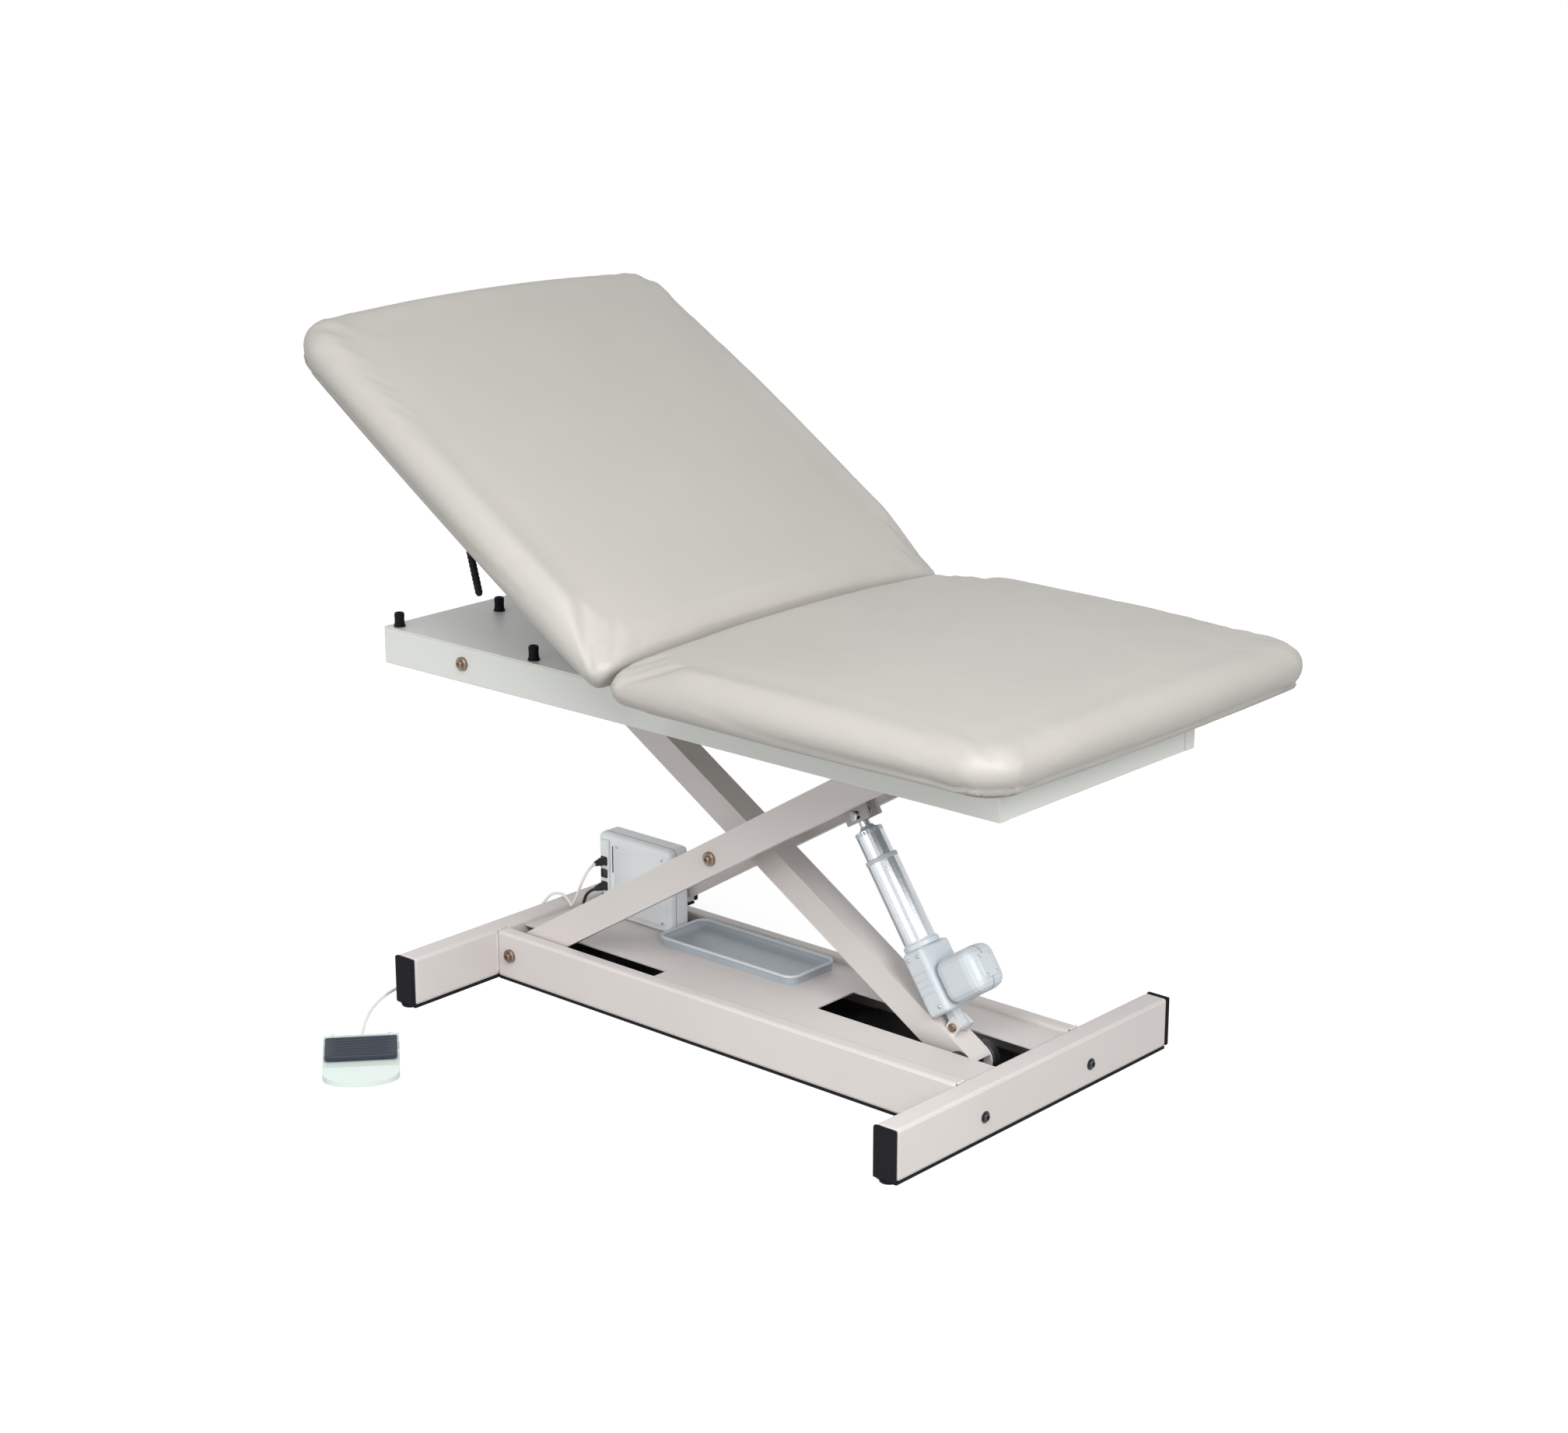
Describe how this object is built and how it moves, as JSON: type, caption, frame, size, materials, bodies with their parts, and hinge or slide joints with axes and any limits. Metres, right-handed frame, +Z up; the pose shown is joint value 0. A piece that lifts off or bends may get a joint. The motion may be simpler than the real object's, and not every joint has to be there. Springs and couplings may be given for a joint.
{
  "type": "bariatric treatment table",
  "caption": "Wide upholstered treatment table on a powered scissor lift, with a fixed seat pad, a reclining backrest and a foot pedal on a cord.",
  "frame": {"origin": "on the floor under the middle of the head cross bar, on the underside of its rubber strip", "axes": "+X along the table to the foot end, +Z up; the foot pedal is on the -Y side"},
  "size_m": [1.8143, 1.3212, 1.4312],
  "materials": {
    "vinyl": "smooth upholstery vinyl, satin",
    "board": "black-painted plywood, matt",
    "frame_paint": "white powder coat, satin",
    "base_paint": "off-white powder coat, satin",
    "black_rubber": "matt black",
    "plated_steel": "zinc plated",
    "bronze_pin": "dull yellow passivated steel",
    "nylon": "natural nylon",
    "actuator_cover": "light grey moulding, satin",
    "actuator_tube": "bright drawn tube",
    "chrome_rod": "polished",
    "spring_black": "black, satin",
    "control_box": "light grey, satin",
    "tray_grey": "grey, satin",
    "pedal_white": "off-white, satin",
    "pedal_navy": "dark navy, matt",
    "cord_cream": "cream sheath",
    "lead_black": "black sheath"
  },
  "bodies": {
    "base": {"head_bar": "base_paint", "foot_bar": "base_paint", "head_bar_strip": "black_rubber", "foot_bar_strip": "black_rubber", "head_bar_cap_left": "black_rubber", "head_bar_cap_right": "black_rubber", "foot_bar_cap_left": "black_rubber", "foot_bar_cap_right": "black_rubber", "base_rail_left": "base_paint", "base_rail_right": "base_paint", "base_pivot_shaft": "bronze_pin", "deck_centre": "base_paint", "deck_side_left": "base_paint", "deck_side_right": "base_paint", "roller_track": "spring_black", "control_box": "control_box", "control_box_sockets": "control_box", "deck_tray": "tray_grey", "pedal_base": "pedal_white", "pedal_cord": "cord_cream", "motor_lead": "lead_black"},
    "outer_legs": {"outer_leg_left": "base_paint", "outer_leg_right": "base_paint", "lift_cross_tube": "base_paint", "scissor_pivot_shaft": "bronze_pin"},
    "inner_leg": {"inner_leg": "base_paint", "actuator_clevis": "base_paint"},
    "upper_rollers": {"upper_rollers": "nylon"},
    "lower_rollers": {"lower_rollers": "nylon"},
    "top_frame": {"frame_side_left": "frame_paint", "frame_side_right": "frame_paint", "frame_end_head": "frame_paint", "frame_end_foot": "frame_paint", "frame_plate_left": "frame_paint", "frame_plate_right": "frame_paint", "top_pivot_shaft": "bronze_pin", "bumper_head_left": "black_rubber", "bumper_head_right": "black_rubber", "bumper_hinge_left": "black_rubber", "bumper_hinge_right": "black_rubber", "bumper_middle": "black_rubber", "seat_beam_front": "frame_paint", "seat_beam_rear": "frame_paint", "seat_board": "board", "seat_pad": "vinyl", "seat_hinge_left": "plated_steel", "seat_hinge_right": "plated_steel", "spring_lower_bracket": "frame_paint"},
    "backrest": {"back_board": "board", "back_pad": "vinyl", "back_hinge_left": "plated_steel", "back_hinge_right": "plated_steel", "spring_upper_bracket": "plated_steel"},
    "actuator_body": {"actuator_gearbox": "actuator_cover", "actuator_motor_cover": "actuator_cover", "actuator_tube": "actuator_tube"},
    "actuator_rod": {"lift_rod": "chrome_rod"},
    "gas_spring_body": {"gas_spring_body": "spring_black"},
    "gas_spring_rod": {"gas_spring_rod": "chrome_rod"},
    "pedal_rocker": {"pedal_rocker": "pedal_navy"}
  },
  "joints": [
    {"name": "lift", "type": "hinge", "parent": "base", "child": "outer_legs", "pos_m": [0.0655, 0, 0.06], "axis": [0, -1, 0], "range_deg": [-7, 6]},
    {"name": "scissor", "type": "hinge", "parent": "outer_legs", "child": "inner_leg", "pos_m": [0.60437, 0, 0.39022], "axis": [0, -1, 0], "range_deg": [-12.5, 14.5]},
    {"name": "frame_level", "type": "hinge", "parent": "inner_leg", "child": "top_frame", "pos_m": [0.0655, 0, 0.72044], "axis": [0, -1, 0], "range_deg": [-7.5, 6.5]},
    {"name": "upper_roller_spin", "type": "hinge", "parent": "outer_legs", "child": "upper_rollers", "pos_m": [1.14324, 0, 0.72044], "axis": [0, -1, 0], "continuous": true},
    {"name": "lower_roller_spin", "type": "hinge", "parent": "inner_leg", "child": "lower_rollers", "pos_m": [1.14324, 0, 0.06], "axis": [0, -1, 0], "continuous": true},
    {"name": "actuator_tilt", "type": "hinge", "parent": "inner_leg", "child": "actuator_body", "pos_m": [1.11337, 0, 0.12991], "axis": [0, -1, 0], "range_deg": [-2, 2.2]},
    {"name": "actuator_extend", "type": "slide", "parent": "actuator_body", "child": "actuator_rod", "axis": [-0.5599, 0, 0.8286], "range_m": [-0.0685, 0.059]},
    {"name": "backrest_recline", "type": "hinge", "parent": "top_frame", "child": "backrest", "pos_m": [0.6655, 0, 0.84715], "axis": [0, 1, 0], "range_deg": [-33.3, 26.7]},
    {"name": "spring_tilt", "type": "hinge", "parent": "top_frame", "child": "gas_spring_body", "pos_m": [0.6655, 0.08, 0.7], "axis": [0, 1, 0], "range_deg": [-28.2, 22.8]},
    {"name": "spring_extend", "type": "slide", "parent": "gas_spring_body", "child": "gas_spring_rod", "axis": [-0.7979, 0, 0.6028], "range_m": [-0.0698, 0.0562]},
    {"name": "pedal_rock", "type": "hinge", "parent": "base", "child": "pedal_rocker", "pos_m": [0.15024, -0.67873, 0.0225], "axis": [-0.6607, -0.7507, 0], "range_deg": [-4, 4], "stiffness_Nm_per_rad": 6}
  ],
  "couplings": [
    {"joint": "scissor", "follows": "lift", "ratio": -2},
    {"joint": "frame_level", "follows": "lift", "ratio": 1},
    {"joint": "actuator_tilt", "follows": "lift", "ratio": -0.25943},
    {"joint": "actuator_extend", "follows": "lift", "m_per_rad": 0.55953},
    {"joint": "spring_tilt", "follows": "backrest_recline", "ratio": 0.835},
    {"joint": "spring_extend", "follows": "backrest_recline", "m_per_rad": 0.119}
  ]
}
